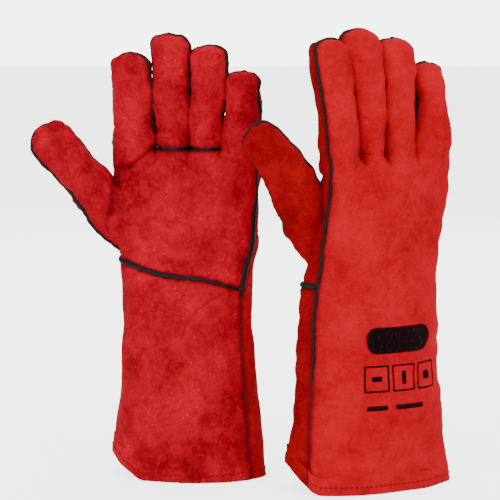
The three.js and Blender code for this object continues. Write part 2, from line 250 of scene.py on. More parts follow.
def seamAngles(z):
    # The thumb side's and the little finger's side's, by height.
    return smoothAlong(z, *hand["thumbSeam"]), smoothAlong(z, *hand["littleSeam"])


def panelAngles(panel, thumbSide, littleSide):
    # Where a panel starts and ends round a section, in degrees: 0 is the back and -90 the thumb side.
    if panel == "back":
        return -90 + thumbSide, 90 + littleSide
    return 90 + littleSide, 270 + thumbSide


def handGrid(panel, bottom, top, rows, perFinger):
    # Columns run up into the fingers. Low down they share out one flattened, squared ellipse. Towards the
    # crease it turns into the four fingers' own ellipses, so both meet there.
    order = fingers if panel == "back" else fingers[::-1]
    share = np.linspace(0, 1, rows)[:, None]
    blocks = []
    for spot, finger in enumerate(order):
        turn = np.linspace(0, 1, perFinger)[None, :]
        if spot:
            turn = turn[:, 1:]
        low, high = bottom(finger["middle"], 0), top(finger["middle"], 0)
        height = low + (high - low) * share  # a first guess, put right below once x is known
        thumbSide, littleSide = seamAngles(height)
        atThumb = thumbSide if finger["name"] == "index" else 0
        atLittle = littleSide if finger["name"] == "little" else 0
        start, end = panelAngles(panel, atThumb, atLittle)
        phi = np.radians(start + (end - start) * turn)
        across = (finger["middle"] + finger["half"] * np.sin(phi)) / hand["halfWidths"][-1]
        sign = np.full_like(phi, 1.0 if panel == "back" else -1.0)
        sign = np.where(np.cos(phi) * sign < -1e-6, -sign, sign)
        widest = smoothAlong(height, hand["heights"], hand["halfWidths"])
        deepest = sign * hand["halfDepths"][0] * np.sqrt(np.maximum(1 - across**2, 0))
        low, high = bottom(across * widest, deepest), top(across * widest, deepest)
        height = low + (high - low) * share
        width = smoothAlong(height, hand["heights"], hand["halfWidths"])
        depth = smoothAlong(height, hand["heights"], hand["halfDepths"])
        square = smoothAlong(height, hand["heights"], hand["squareness"])
        rounded = (1 - np.minimum(np.abs(across), 1) ** square) ** (1 / square)
        reach = hand["backBlend"] if panel == "back" else hand["palmBlend"]
        part = ease((height - hand["crease"] + reach) / reach)
        x = (1 - part) * width * across + part * (finger["middle"] + finger["half"] * np.sin(phi))
        y = (1 - part) * sign * depth * rounded + part * hand["halfDepths"][-1] * np.cos(phi)
        blocks.append(np.stack([x, y, height], -1))
    return np.concatenate(blocks, 1)


def hemHeight(glove):
    # Flat, then rising as a power of the way to the thumb side, seen along the direction that hemTurn gives.
    turn = math.radians(glove["hemTurn"])

    def height(x, y):
        beyond = hand["hemFlatFrom"] - x * math.cos(turn) - y * math.sin(turn)
        return glove["hemRise"] * np.clip(beyond / hand["hemRiseOver"], 0, 1) ** hand["hemRisePower"]

    return height


def wristHeight(glove):
    # A straight fall with a sine wave on it.
    def height(x, y):
        wave = hand["wristWave"] * np.sin(x / hand["wristWaveLength"])
        return glove["wrist"] - glove["wristFall"] * x + wave

    return height


def level(height):
    # The same height everywhere.
    return lambda x, y: height + 0 * x


tips = {"wedgePower": 1.6, "depthPower": 2.3}


def towardsTip(along, length, dome, shape):
    # What is left of the width and of the depth. Both end as the root of one minus a power of the way into
    # the dome, and the depth also thins like a wedge.
    into = np.clip((along - length + dome) / dome, 0, 1)
    power, root = shape["domePowers"]
    thinning = np.clip((along - length + shape["wedgeLength"]) / shape["wedgeLength"], 0, 1)
    wedge = 1 - shape["wedge"] * thinning ** tips["wedgePower"]
    return (1 - into**power) ** (1 / root), wedge * (1 - into ** tips["depthPower"]) ** 0.5


def fingerGrid(glove, finger, panel, rows, columns, inset=0.0, root=0.0):
    # A tube of ellipses along the finger. Its middle line leans by a power of the way up, and curls towards
    # the palm by the square of it.
    length = finger["length"] + glove["longer"][fingers.index(finger)] - inset
    along = (length + root) * np.sin(np.linspace(0, math.pi / 2, rows))[:, None] - root
    share = np.maximum(along, 0) / length
    leave = ease(along / fingerShape["seamsLeave"])
    handThumb = hand["thumbSeam"][1][-1] if finger["name"] == "index" else 0
    handLittle = hand["littleSeam"][1][-1] if finger["name"] == "little" else 0
    thumbSide = handThumb + (finger["seams"][0] - handThumb) * leave
    littleSide = handLittle + (finger["seams"][1] - handLittle) * leave
    turn = np.linspace(0, 1, columns)[None, :]
    start, end = panelAngles(panel, thumbSide, littleSide)
    phi = np.radians(start + (end - start) * turn)
    widened = ease(along / fingerShape["widensOver"])
    half = finger["half"] + (finger["tipHalf"] - finger["half"]) * widened - inset
    fallen = ease((along - fingerShape["bulgeTop"]) / fingerShape["bulgeFall"])
    bulge = fingerShape["bulge"] * ease(along / fingerShape["bulgeRise"]) * (1 - fallen)
    half = half - fingerShape["waist"] * np.sin(math.pi * share) + bulge
    dome = fingerShape["domeShare"] * finger["tipHalf"]
    wide, deep = towardsTip(along, length, dome, fingerShape)
    lean = glove["indexLean"] if finger["name"] == "index" else finger["lean"]
    x = finger["middle"] + lean * share ** fingerShape["leanPower"] + half * wide * np.sin(phi)
    y = -finger["curl"] * share**2 + (hand["halfDepths"][-1] - inset) * deep * np.cos(phi)
    return np.stack([x, y, hand["crease"] + along + 0 * phi], -1)


def thumbAhead(glove):
    rise = math.radians(glove["thumbAngle"])
    return np.array([-math.cos(rise), 0, math.sin(rise)])


def thumbLine(glove, along):
    # A nearly straight curve from inside the hand through the thumb's joint to its tip, which comes forward.
    joint = np.array(thumb["joint"])
    root = joint - thumbAhead(glove) * thumb["root"] + (0, thumb["rootBack"], 0)
    tip = joint + thumbAhead(glove) * glove["thumbOut"] - (0, thumb["forward"], 0)
    knots = np.array([root, joint, joint + 0.5 * (tip - joint), tip])
    steps = np.concatenate([[0], np.linalg.norm(np.diff(knots, axis=0), axis=1).cumsum()])
    return smoothAlong(along, steps, knots)


def thumbGrid(glove, panel, rows, columns, inset=0.0):
    # The same kind of tube along the thumb's curved line, its width lying in the plane of the hand.
    length = thumb["root"] + glove["thumbOut"] - inset
    along = length * np.sin(np.linspace(thumb["firstAngle"], math.pi / 2, rows))
    middle = thumbLine(glove, along)
    ahead = thumbAhead(glove)
    sideways = np.array([ahead[2], 0, -ahead[0]])
    share = along / (length + inset)
    wide, thick = towardsTip(along, length, thumb["dome"], thumb)
    half = wide * np.maximum(smoothAlong(share, thumb["shares"], thumb["halfWidths"]) - inset, 1)
    deep = thick * np.maximum(smoothAlong(share, thumb["shares"], thumb["halfDepths"]) - inset, 1)
    outer, inner = thumb["seams"]
    start, end = (outer, inner) if panel == "back" else (inner, outer + 360)
    phi = np.radians(np.linspace(start, end, columns))[None, :]
    grid = middle[:, None, :] + sideways * (half[:, None] * np.sin(phi))[..., None]
    grid[..., 1] += deep[:, None] * np.cos(phi)
    return grid


# Soft folds pressed into the palm side: two ends as (x, z), how deep and how wide.
folds = [
    ((-25, 268), (-47, 251), 2.8, 1.7),
    ((-47, 251), (-58, 248), 2.6, 2.6),
    ((-57, 244), (-56, 214), 2.6, 2.2),
    ((-56, 214), (-60, 196), 2.0, 2.4),
    ((-24, 282), (-12, 279), 1.6, 2.0),
    ((14, 273), (25, 277), 1.4, 2.0),
    ((-16, 306), (-4, 303), 0.9, 2.4),
    ((-30, 204), (-2, 190), 0.9, 5.5),
    ((8, 236), (44, 226), 0.9, 6.0),
    ((20, 190), (46, 178), 0.8, 5.0),
]
folding = {
    "wave": 1.6, "wavelength": 22, "seamFade": 6,
    "darkestAt": 2.6,  # the depth from which a fold's painted shade is full
    # The darkest painted shade in a fold.
    "shade": 0.55,
}


def foldIn(grid, seams, seed):
    # Each fold is a valley with a bell curve for its section, along a wavy line, and gone at the seams. It
    # also gives the painted shade of each fold, by its depth.
    waves = [lumps(grid, folding["wavelength"], seed + offset) for offset in (8, 9)]
    flat = grid[..., [0, 2]] + folding["wave"] * np.stack(waves, -1)
    depth = np.zeros(grid.shape[:2])
    for first, last, deep, wide in folds:
        first = np.array(first, float)
        along = np.array(last, float) - first
        share = np.clip(((flat - first) @ along) / (along @ along), 0, 1)
        away = np.linalg.norm(flat - first - share[..., None] * along, axis=2)
        depth += deep * bell(away, 0, wide)
    depth *= ease(seams / folding["seamFade"])
    return grid - normalsOf(grid) * depth[..., None], np.clip(depth / folding["darkestAt"], 0, 1)


# Where the gloves' own leans and reaches act, in a glove's millimetres.
acting = {
    "leanFrom": 90, "leanOver": 150,
    "cuffTo": 185, "cuffOver": 60, "cuffSide": 50,
    "littleFrom": 190, "littleOver": 90, "handSide": 60,
    "knuckles": (262, 48), "wrist": (162, 38), "ball": (203, 17),  # middle height and width of a bell curve
}
indexHinge = (-45.0, -16.8)  # where the index finger's hinge is in the glove's own x and y


def gloveTurn(glove):
    # The angle of the glove's own x in the row frame, by the index finger's hinge.
    axis = joints[glove["name"] + "_index_bend"]["axis"]
    return math.atan2(axis[1] * glove["mirror"], axis[0] * glove["mirror"])


def sidestep(points, glove):
    # How far each point moves sideways: smooth steps in height for the lean, the cuff and the little finger's
    # side, and bell curves for the rest, all but the lean times how far out the point is.
    x, z = points[..., 0], points[..., 2]
    step = glove["lean"] * ease((z - acting["leanFrom"]) / acting["leanOver"])
    thumbSide, littleSide = glove["cuffReach"]
    low = ease((acting["cuffTo"] - z) / acting["cuffOver"])
    step = step - thumbSide * np.clip(-x / acting["cuffSide"], 0, 1) * low
    step = step + littleSide * np.clip(x / acting["cuffSide"], 0, 1) * low
    toThumb = np.clip(-x / acting["handSide"], 0, 1)
    toLittle = np.clip(x / acting["handSide"], 0, 1)
    thumbSide, littleSide = glove["knuckleReach"]
    step = step - thumbSide * toThumb * bell(z, *acting["knuckles"])
    step = step + littleSide * toLittle * ease((z - acting["littleFrom"]) / acting["littleOver"])
    step = step - glove["wristReach"] * toThumb * bell(z, *acting["wrist"])
    return step - glove["ballReach"] * toThumb * bell(z, *acting["ball"])


def placed(points, glove):
    # Millimetres in the glove's frame to metres in the row frame: stepped sideways, turned and moved.
    turn = gloveTurn(glove)
    c, s = math.cos(turn), math.sin(turn)
    points = np.asarray(points, float)

    def turned(x, y):
        return np.stack([c * x - s * glove["mirror"] * y, s * x + c * glove["mirror"] * y], -1)

    hinge = turned(np.array(indexHinge[0]), np.array(indexHinge[1])) / 1000
    base = np.array(joints[glove["name"] + "_index_bend"]["pos_m"][:2]) - hinge
    flat = turned(points[..., 0], points[..., 1]) / 1000 + base
    flat = flat + sidestep(points, glove)[..., None] / 1000 * np.array([c, s])
    return np.concatenate([flat, points[..., 2:] / 1000], -1)


def keep(mesh, name, values, kind="FLOAT_VECTOR", field="vector"):
    made = mesh.attributes.new(name, kind, "POINT")
    made.data.foreach_set(field, values.reshape(-1).astype(np.float32))


def sewn(name, grid, glove, material, dark=None, wrap=False, turned=False):
    # A mesh of quads over a grid of points, or over many grids at once, with rest places and the painted
    # shade of seams and folds.
    place = placed(grid, glove)
    number = np.arange(place.size // 3).reshape(place.shape[:-1])
    beside = np.roll(number, -1, -1) if wrap else number[..., 1:]
    here = number if wrap else number[..., :-1]
    corners = [here[..., :-1, :], here[..., 1:, :], beside[..., 1:, :], beside[..., :-1, :]]
    if (glove["mirror"] < 0) != turned:
        corners = corners[::-1]
    quads = np.stack(corners, -1).reshape(-1, 4)
    mesh = bpy.data.meshes.new(name)
    mesh.vertices.add(number.size)
    mesh.vertices.foreach_set("co", place.reshape(-1).astype(np.float32))
    mesh.loops.add(quads.size)
    mesh.loops.foreach_set("vertex_index", quads.reshape(-1).astype(np.int32))
    mesh.polygons.add(len(quads))
    mesh.polygons.foreach_set("loop_start", np.arange(0, quads.size, 4, dtype=np.int32))
    mesh.update(calc_edges=True)
    keep(mesh, "restPlace", place)
    # The painted shade of seams and folds, kept for the colour.
    keep(mesh, "paintedShade", np.zeros(number.shape) if dark is None else dark, "FLOAT", "value")
    shape = bmesh.new()
    shape.from_mesh(mesh)
    bmesh.ops.remove_doubles(shape, verts=shape.verts, dist=1e-6)
    shape.to_mesh(mesh)
    shape.free()
    mesh.polygons.foreach_set("use_smooth", np.ones(len(mesh.polygons), bool))
    mesh.validate()
    mesh.materials.append(material)
    piece = bpy.data.objects.new(name, mesh)
    bpy.context.scene.collection.objects.link(piece)
    return piece


# Radii of the welts, from the first end to the last where there are two.
welt = {
    "finger": (1.1, 1.75),  # from the thumb side over the tip to the little finger's side
    "thumb": 1.3,
    "base": 1.15,
    "wrist": (2.3, 1.2),  # from the thumb side to the little finger's side
    "thumbSide": (0.9, 1.3),  # from the cuff up
    "littleSide": (2.6, 1.4),
    "wristTail": [(0.6, -1.0, -3.0), (0.4, -1.6, -7.0)],  # where the wrist's welt turns down at its last end
    "swell": 0.1, "swellWavelength": 13,
    "endPower": 60,  # how bluntly the ends close
    "lift": 0.5,  # how far the middle of a welt stands off the surface
    "handLift": 0.3,
    "tipLift": 2.2,  # how strongly a digit's welt is turned to point past its tip
    "tipLength": 14,
    "sides": 10,
}


def welted(name, path, outward, glove, radius, lift=welt["lift"]):
    # A circle carried along a path on the surface. Where radius is a pair it changes smoothly from the first
    # end to the last, and both ends close to a point.
    ahead = unit(np.gradient(path, axis=0))
    outward = unit(outward - (outward * ahead).sum(1)[:, None] * ahead)
    across = np.cross(ahead, outward)
    along = np.linspace(0, 1, len(path))
    swell = 1 + welt["swell"] * lumps(path, welt["swellWavelength"], glove["seed"] + 6)
    ends = np.sqrt(np.clip(1 - np.abs(2 * along - 1) ** welt["endPower"], 0, 1))
    first, last = radius if isinstance(radius, tuple) else (radius, radius)
    size = ((first + (last - first) * ease(along)) * swell * ends)[:, None, None]
    angle = np.linspace(0, 2 * math.pi, welt["sides"], endpoint=False)[None, :, None]
    ring = np.cos(angle) * outward[:, None] + np.sin(angle) * across[:, None]
    grid = path[:, None] + outward[:, None] * lift + size * ring
    return sewn(name, grid, glove, black, wrap=True, turned=True)


def between(places, known, values):
    return np.stack([np.interp(places, known, values[:, i]) for i in range(3)], -1)


def evenly(path, outward, step=1.3):
    # The path and its outward directions at even steps, each then averaged with its neighbours three times.
    lengths = np.concatenate([[0], np.linalg.norm(np.diff(path, axis=0), axis=1).cumsum()])
    places = np.linspace(0, lengths[-1], max(8, int(lengths[-1] / step)))
    even, out = between(places, lengths, path), between(places, lengths, outward)
    for _ in range(3):
        even[1:-1] = (even[:-2] + 2 * even[1:-1] + even[2:]) / 4
        out[1:-1] = (out[:-2] + 2 * out[1:-1] + out[2:]) / 4
    return even, out


def newGroup(name, inputs, outputs):
    group = bpy.data.node_groups.new(name, "ShaderNodeTree")
    for label, kind, value in inputs:
        socket = group.interface.new_socket(label, in_out="INPUT", socket_type="NodeSocket" + kind)
        if value is not None:
            socket.default_value = value
    for label, kind in outputs:
        group.interface.new_socket(label, in_out="OUTPUT", socket_type="NodeSocket" + kind)
    return group, group.nodes.new("NodeGroupInput"), group.nodes.new("NodeGroupOutput")


def wire(tree, made, inputs):
    # A socket is linked, and anything else is set as the input's own value.
    for key, value in inputs.items():
        if isinstance(value, bpy.types.NodeSocket):
            tree.links.new(value, made.inputs[key])
        else:
            made.inputs[key].default_value = value
    return made


def node(tree, kind, inputs=None, **settings):
    made = tree.nodes.new("ShaderNode" + kind)
    for key, value in settings.items():
        setattr(made, key, value)
    return wire(tree, made, inputs or {})


def maths(tree, what, first, second=0.0, clamp=False):
    return node(tree, "Math", {0: first, 1: second}, operation=what, use_clamp=clamp).outputs[0]


def mixed(tree, share, first, second, how="MIX"):
    inputs = {"Factor": share, 6: first, 7: second}
    return node(tree, "Mix", inputs, data_type="RGBA", blend_type=how).outputs[2]


def noise(tree, place, **settings):
    return node(tree, "TexNoise", {"Vector": place, **settings}).outputs["Fac"]


def ranged(tree, value, low, high, first=0.0, last=1.0):
    # Low to high becomes first to last, and the value is held beyond both.
    return node(tree, "MapRange", {"Value": value, 1: low, 2: high, 3: first, 4: last}).outputs[0]


def attribute(tree, name, output):
    return node(tree, "Attribute", attribute_name=name).outputs[output]


nap = {
    "stain": {"Scale": 22, "Detail": 3, "Roughness": 0.55},
    "blotch": {"Scale": 95, "Detail": 5, "Roughness": 0.62, "Distortion": 0.7},
    "fibre": {"Scale": 900, "Detail": 3, "Roughness": 0.7},
    "grain": {"Scale": 330, "Detail": 4, "Roughness": 0.65},
    "dots": 260,
    "speckColour": (0.78, 0.42, 0.4, 1),
    # The colour and strength of the painted shade at seams and folds.
    "paintedShadeColour": (0.045, 0.006, 0.008, 1), "paintedShade": 0.72,
}


def napGroup():
    # Brushed leather: broad stains, blotches where the nap lies over, fine fibres and pale specks, with
    # painted shade beside seams and in folds.
    group, given, gives = newGroup(
        "brushedNap",
        [("Place", "Vector", None), ("Seam", "Float", 0.0), ("Base", "Color", (0.5, 0.02, 0.02, 1)),
         ("Dark", "Color", (0.25, 0.01, 0.01, 1)), ("Light", "Color", (0.7, 0.1, 0.1, 1)),
         ("Blotch", "Float", 0.5), ("Specks", "Float", 0.3)],
        [("Color", "Color"), ("Roughness", "Float"), ("Height", "Float")],
    )
    asked = given.outputs
    stain, blotch, fibre, grain = (
        noise(group, asked["Place"], **nap[key]) for key in ("stain", "blotch", "fibre", "grain")
    )
    dots = node(group, "TexVoronoi", {"Vector": asked["Place"], "Scale": nap["dots"]}).outputs["Distance"]
    spotted = maths(group, "MULTIPLY", ranged(group, dots, 0.16, 0.06), ranged(group, stain, 0.5, 0.68))
    speck = maths(group, "MULTIPLY", spotted, asked["Specks"])
    darker = maths(group, "MULTIPLY", ranged(group, stain, 0.62, 0.36, 0.0, 0.75), 0.75)
    patch = maths(group, "MULTIPLY", ranged(group, blotch, 0.58, 0.4), asked["Blotch"])
    toDark = maths(group, "ADD", darker, maths(group, "MULTIPLY", patch, 0.6), True)
    colour = mixed(group, toDark, asked["Base"], asked["Dark"])
    colour = mixed(group, ranged(group, grain, 0.5, 0.72, 0.0, 0.32), colour, asked["Light"])
    fine = ranged(group, fibre, 0.3, 0.7, 0.86, 1.12)
    grey = node(group, "CombineColor", {0: fine, 1: fine, 2: fine}).outputs[0]
    colour = mixed(group, 1.0, colour, grey, "MULTIPLY")
    colour = mixed(group, speck, colour, nap["speckColour"])
    # Painted shade: the colour goes darker beside seams and in folds, by the attribute.
    shade = maths(group, "MULTIPLY", asked["Seam"], nap["paintedShade"])
    colour = mixed(group, shade, colour, nap["paintedShadeColour"])
    height = maths(group, "ADD", maths(group, "MULTIPLY", grain, 0.6), maths(group, "MULTIPLY", fibre, 0.4))
    height = maths(group, "ADD", height, maths(group, "MULTIPLY", blotch, 0.8))
    rough = ranged(group, blotch, 0.3, 0.7, 0.98, 0.84)
    wire(group, gives, {"Color": colour, "Roughness": rough, "Height": height})
    return group


def newMaterial(name):
    made = bpy.data.materials.new(name)
    made.use_nodes = True
    shader = made.node_tree.nodes["Principled BSDF"]
    return made, made.node_tree, shader


leatherShine = {"Specular IOR Level": 0.05, "Sheen Weight": 0.02, "Sheen Roughness": 0.5,
                "Sheen Tint": (1.0, 0.4, 0.38, 1)}


def redLeather(name, look, brushed, ink=None):
    made, tree, shader = newMaterial(name)
    # The painted shade of seams and folds is read from the mesh.
    place, paintedShadeValue = attribute(tree, "restPlace", "Vector"), attribute(tree, "paintedShade", "Fac")
    used = node(tree, "Group", {"Place": place, "Seam": paintedShadeValue, **look}, node_tree=brushed)
    colour = ink(tree, used.outputs["Color"]) if ink else used.outputs["Color"]
    bump = node(tree, "Bump", {"Height": used.outputs["Height"], "Strength": 0.55, "Distance": 0.0009})
    wire(tree, shader, {"Base Color": colour, "Roughness": used.outputs["Roughness"]})
    wire(tree, shader, {"Normal": bump.outputs[0], **leatherShine})
    return made


weltLook = {"base": (0.0015, 0.0012, 0.002, 1), "rubbed": (0.03, 0.022, 0.022, 1)}


def blackLeather():
    made, tree, shader = newMaterial("blackWeltLeather")
    place = attribute(tree, "restPlace", "Vector")
    grain = noise(tree, place, Scale=700, Detail=4)
    rub = noise(tree, place, Scale=130, Detail=4, Roughness=0.65)
    colour = mixed(tree, ranged(tree, rub, 0.58, 0.75, 0.0, 0.6), weltLook["base"], weltLook["rubbed"])
    bump = node(tree, "Bump", {"Height": grain, "Strength": 0.4, "Distance": 0.0004})
    wire(tree, shader, {"Base Color": colour, "Roughness": ranged(tree, rub, 0.3, 0.7, 0.5, 0.75)})
    wire(tree, shader, {"Normal": bump.outputs[0], "Specular IOR Level": 0.22})
    return made


cloths = {
    "creamFleece": {"base": (0.72, 0.64, 0.52, 1), "dark": (0.45, 0.38, 0.29, 1)},
    "blueCanvas": {"base": (0.16, 0.22, 0.33, 1), "dark": (0.05, 0.07, 0.12, 1), "threads": 260},
    "redThread": {"base": (0.30, 0.008, 0.014, 1), "dark": (0.10, 0.002, 0.004, 1), "sheen": 0.02},
}


def woven(name, base, dark, threads=0, sheen=0.3):
    # Cloth: two crossed wave bands for a weave, or noise alone for a brushed pile, which has no threads.
    made, tree, shader = newMaterial(name)
    place = attribute(tree, "restPlace", "Vector")
    height = noise(tree, place, Scale=420, Detail=4, Roughness=0.7)
    if threads:
        bands = {"Vector": place, "Scale": threads, "Distortion": 0.6}
        across = node(tree, "TexWave", bands, bands_direction="X").outputs["Fac"]
        upward = node(tree, "TexWave", bands, bands_direction="Z").outputs["Fac"]
        tuft = maths(tree, "MULTIPLY", height, 0.4)
        height = maths(tree, "ADD", maths(tree, "MAXIMUM", across, upward), tuft)
    colour = mixed(tree, ranged(tree, height, 0.25, 0.85), dark, base)
    bump = node(tree, "Bump", {"Height": height, "Strength": 0.6, "Distance": 0.0007})
    wire(tree, shader, {"Base Color": colour, "Normal": bump.outputs[0], "Roughness": 0.95})
    wire(tree, shader, {"Sheen Weight": sheen, "Specular IOR Level": 0.15})
    return made


# The printed mark on one cuff, in millimetres. A box is its middle x and z, half width, half height, how far
# its rounded corners reach beyond it, and whether it is only an outline.
mark = {
    "boxes": [
        (13, 120, 21, 1.6, 9.0, False),
        (-9, 90, 9.5, 9.5, 1.3, True), (15, 90, 9.5, 9.5, 1.3, True), (38, 90, 8.5, 9.5, 1.3, True),
        (-9, 90, 3.2, 1.0, 1.3, False), (15, 90, 1.0, 4.0, 1.3, False), (38, 90, 2.2, 2.2, 1.3, False),
        (-9, 67, 8, 0.8, 1.3, False), (20, 67, 12, 0.8, 1.3, False),
    ],
    "line": 1.4,
    "softEdge": 0.4,
    "ink": (0.004, 0.001, 0.002, 1),
}


def inkGroup():
    # 1 in a box and as far round it as the corner radius, falling to 0 over the soft edge.
    group, given, gives = newGroup(
        "inkBox",
        [("Place", "Vector", None), ("Middle", "Vector", (0, 0, 0)), ("Half", "Vector", (1, 1, 1)),
         ("Corner", "Float", 1.3)],
        [("Mask", "Float")],
    )
    asked = given.outputs
    away = node(group, "VectorMath", {0: asked["Place"], 1: asked["Middle"]}, operation="SUBTRACT")
    away = node(group, "VectorMath", {0: away.outputs[0]}, operation="ABSOLUTE")
    over = node(group, "VectorMath", {0: away.outputs[0], 1: asked["Half"]}, operation="SUBTRACT")
    over = node(group, "VectorMath", {0: over.outputs[0], 1: (0, 0, 0)}, operation="MAXIMUM")
    far = node(group, "VectorMath", {0: over.outputs[0]}, operation="LENGTH").outputs["Value"]
    whole = maths(group, "SUBTRACT", asked["Corner"], mark["softEdge"])
    wire(group, gives, {"Mask": ranged(group, far, asked["Corner"], whole)})
    return group


def inked(tree, colour):
    # All boxes together, broken up where the nap didn't take the ink.
    place = attribute(tree, "printPlace", "Vector")
    box = inkGroup()

    def masked(x, z, half, tall, corner):
        inputs = {"Place": place, "Middle": (x, z, 0), "Half": (half, tall, 1), "Corner": corner}
        return node(tree, "Group", inputs, node_tree=box).outputs["Mask"]

    total = None
    for x, z, half, tall, corner, outline in mark["boxes"]:
        mask = masked(x, z, half, tall, corner)
        if outline:
            inside = masked(x, z, half - mark["line"], tall - mark["line"], corner)
            mask = maths(tree, "SUBTRACT", mask, inside, True)
        total = mask if total is None else maths(tree, "MAXIMUM", total, mask)
    patchy = noise(tree, attribute(tree, "restPlace", "Vector"), Scale=420, Detail=3)
    patchy = ranged(tree, patchy, 0.3, 0.44, 0.86, 1.0)
    return mixed(tree, maths(tree, "MULTIPLY", total, patchy), colour, mark["ink"])


looks = {
    "palm": {"Base": (0.45, 0.001, 0.012, 1), "Dark": (0.15, 0.0003, 0.005, 1),
             "Light": (0.62, 0.008, 0.024, 1), "Blotch": 0.5, "Specks": 0.4},
    "back": {"Base": (0.46, 0.0014, 0.010, 1), "Dark": (0.28, 0.0004, 0.004, 1),
             "Light": (0.56, 0.006, 0.016, 1), "Blotch": 0.5, "Specks": 0.08},
    "deep": {"Base": (0.30, 0.0001, 0.003, 1), "Dark": (0.15, 0.0001, 0.002, 1),
             "Light": (0.40, 0.001, 0.006, 1), "Blotch": 0.6, "Specks": 0.03},
}
brushed = napGroup()
palmRed = redLeather("palmRedLeather", looks["palm"], brushed)
backRed = redLeather("backRedLeather", looks["back"], brushed)
deepRed = redLeather("deepRedLeather", looks["deep"], brushed)
markedRed = redLeather("markedRedLeather", looks["back"], brushed, inked)
black = blackLeather()
fleece, canvas, threadRed = (woven(name, **cloth) for name, cloth in cloths.items())
backs = {"left": backRed, "right": markedRed}
fronts = {"left": palmRed, "right": deepRed}
print("materials made")

gridSize = {
    "handRows": 260, "perFinger": 52,
    "cuffShare": 0.65,  # rows of the cuff's front, as a share of the hand's
    "liningPerFinger": 26,
    "finger": (96, 44), "thumb": (110, 56),  # rows and columns
    "fingerFleece": (44, 22), "thumbFleece": (40, 22),
}


def withRim(grid):
    # Rows below the hem edge that turn the leather in by its thickness and carry it up inside.
    edge = grid[0]
    out = normalsOf(grid)[0] * hand["leather"]
    above, below = hand["rimTurn"]
    inside = edge - out + (0, 0, hand["rimUp"])
    rows = [inside, edge - out + (0, 0, above), edge - out * 0.5 - (0, 0, below)]
    return np.concatenate([np.stack(rows), grid], 0)


def withNone(shade):
    # No painted seam shade on the three rim rows.
    return np.concatenate([np.zeros((3, shade.shape[1])), shade], 0)


def onHand(piece, glove, cadPart):
    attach(piece, glove["name"] + "_hand")
    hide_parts(glove["name"] + "_" + cadPart)


def bent(piece, glove, digit, cadPart, ends):
    start, end = (tuple(placed(np.array(p, float), glove)) for p in ends)
    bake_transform(piece)
    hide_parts(glove["name"] + "_" + digit + "_" + cadPart)


sideWelts = {
    # Column of the back panel, where the welt starts, and how it is turned off the leather.
    "thumb": {"column": 0, "above": 88, "turned": (-0.8, 0.6, 0)},
    "little": {"column": -1, "above": 152, "turned": (0.9, -0.4, 0)},
}


def makeHand(glove):
    seed, name = glove["seed"], glove["name"]
    rows, per = gridSize["handRows"], gridSize["perFinger"]
    hem, wrist, crease = hemHeight(glove), wristHeight(glove), level(hand["crease"])
    back = handGrid("back", hem, crease, rows, per)
    seams = edgeDistance(back)
    back = workIn(back, seams, seed)
    # Painted shade beside the seams.
    shade = withNone(paintedShade(seams))
    piece = sewn(name + "BackLeather", withRim(back), glove, backs[name], shade)
    printPlace(piece, glove)
    onHand(piece, glove, "back_panel")

    palm = handGrid("front", wrist, crease, rows // 2, per)
    seams = edgeDistance(palm, bottom=True)
    base = edgeDistance(palm, left=False, right=False, top=True)
    first, last = hand["baseSeam"]
    underTwo = (palm[..., 0] > first) & (palm[..., 0] < last)
    seams = np.minimum(seams, np.where(underTwo, base, noSeam))
    palm = workIn(palm, seams, seed)
    palm, folded = foldIn(palm, seams, seed)
    # Painted shade beside the seams and in the palm's folds.
    shade = np.maximum(paintedShade(seams), folding["shade"] * folded)
    piece = sewn(name + "PalmLeather", palm, glove, fronts[name], shade)
    onHand(piece, glove, "palm_panel")

    cuff = handGrid("front", hem, wrist, int(rows * gridSize["cuffShare"]), per)
    seams = edgeDistance(cuff, top=True)
    cuff = workIn(cuff, seams, seed)
    # Painted shade beside the seams.
    shade = withNone(paintedShade(seams))
    piece = sewn(name + "CuffLeather", withRim(cuff), glove, fronts[name], shade)
    onHand(piece, glove, "cuff_front")

    out = normalsOf(palm)
    tail = palm[0, 0] + np.array(welt["wristTail"])
    path = np.concatenate([palm[0][::-1], tail])
    outward = np.concatenate([out[0][::-1], out[0, :1], out[0, :1]])
    path, outward = evenly(path, outward)
    piece = welted(name + "WristWelt", path, outward, glove, welt["wrist"])
    onHand(piece, glove, "wrist_welt")

    first, last = hand["baseWelt"]
    under = (palm[-1, :, 0] > first) & (palm[-1, :, 0] < last)
    path, outward = evenly(palm[-1][under], out[-1][under] + (0, 0, 0.2), step=0.8)
    piece = welted(name + "FingerBaseWelt", path, outward, glove, welt["base"], welt["handLift"])
    onHand(piece, glove, "finger_base_welt")

    out = normalsOf(back)
    for side, at in sideWelts.items():
        edge = back[:, at["column"]]
        upper = edge[:, 2] > at["above"]
        path, outward = evenly(edge[upper], out[:, at["column"]][upper] + np.array(at["turned"]))
        label = name + side.capitalize() + "SideWelt"
        piece = welted(label, path, outward, glove, welt[side + "Side"], welt["handLift"])
        onHand(piece, glove, side + "_side_welt")

    hemStitches(glove, back, cuff)
    linings(glove, rows // 3, gridSize["liningPerFinger"])


def printPlace(piece, glove):
    # Where each point lies for the printed mark: across the back and up the cuff, in millimetres.
    place = np.zeros(len(piece.data.vertices) * 3, np.float32)
    piece.data.attributes["restPlace"].data.foreach_get("vector", place)
    place = place.reshape(-1, 3) * 1000
    turn = gloveTurn(glove)
    middle = placed(np.zeros(3), glove) * 1000
    across = (place[:, 0] - middle[0]) * math.cos(turn) + (place[:, 1] - middle[1]) * math.sin(turn)
    keep(piece.data, "printPlace", np.stack([across, place[:, 2], np.zeros(len(place))], -1))


stitch = {
    "above": 5.6,  # how far above the hem the stitches lie
    "length": 3.0, "pitch": 3.7, "radius": 0.42,
    "first": 0.3,  # where the first one starts, in pitches
    "out": 0.25,  # how far its middle stands out
    "sink": 0.5,  # how much lower its ends are
    "sides": 6, "rings": 7,
}


